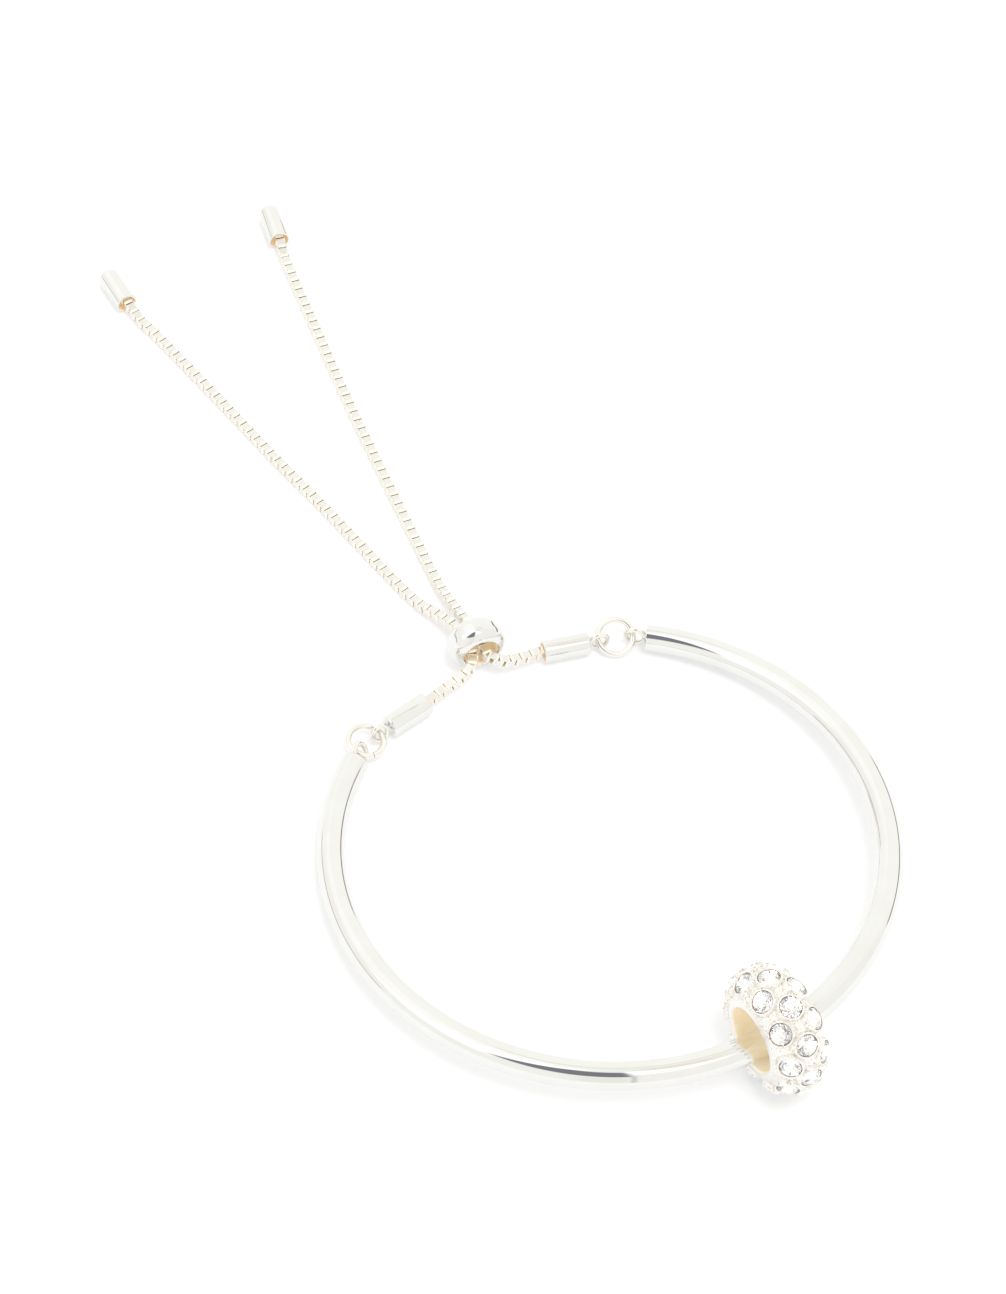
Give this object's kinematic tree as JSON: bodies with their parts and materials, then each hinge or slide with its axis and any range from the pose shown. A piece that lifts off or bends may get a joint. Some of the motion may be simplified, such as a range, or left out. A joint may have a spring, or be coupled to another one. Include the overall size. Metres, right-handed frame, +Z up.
{
  "type": "toggle bangle",
  "caption": "Open round bangle closed by two fine box chains through a sliding bead, with a stone set bead on the tube.",
  "frame": {"origin": "on the table under the centre of the tube's circle, in the middle of the opening for the wrist", "axes": "+Z up, out of the opening for the wrist; the camera of the picture looks along +Y and down"},
  "size_m": [0.0916, 0.1175, 0.0138],
  "materials": {
    "silver": "polished",
    "cast_silver": "cast and polished, pitted between the stones",
    "clear_stone": "faceted, clear"
  },
  "bodies": {
    "bangle": {"bangle": "silver", "jump_ring_left": "silver", "jump_ring_right": "silver", "chain_end_left": "silver", "chain_end_right": "silver", "chain_left": "silver", "chain_right": "silver", "slider_bead": "silver", "end_cap_left": "silver", "end_cap_right": "silver"},
    "charm": {"charm_bead": "cast_silver", "stone_01": "clear_stone", "stone_02": "clear_stone", "stone_03": "clear_stone", "stone_04": "clear_stone", "stone_05": "clear_stone", "stone_06": "clear_stone", "stone_07": "clear_stone", "stone_08": "clear_stone", "stone_09": "clear_stone", "stone_10": "clear_stone", "stone_11": "clear_stone", "stone_12": "clear_stone", "stone_13": "clear_stone", "stone_14": "clear_stone", "stone_15": "clear_stone", "stone_16": "clear_stone", "stone_17": "clear_stone", "stone_18": "clear_stone", "stone_19": "clear_stone", "stone_20": "clear_stone", "stone_21": "clear_stone", "stone_22": "clear_stone", "stone_23": "clear_stone", "stone_24": "clear_stone", "stone_25": "clear_stone", "stone_26": "clear_stone", "stone_27": "clear_stone", "stone_28": "clear_stone", "stone_29": "clear_stone", "stone_30": "clear_stone"}
  },
  "joints": [
    {"name": "bead_slide", "type": "hinge", "parent": "bangle", "child": "charm", "pos_m": [0, 0, 0.00316], "axis": [-0.0388, 0.0612, 0.9974], "range_deg": [-139, 131]}
  ]
}
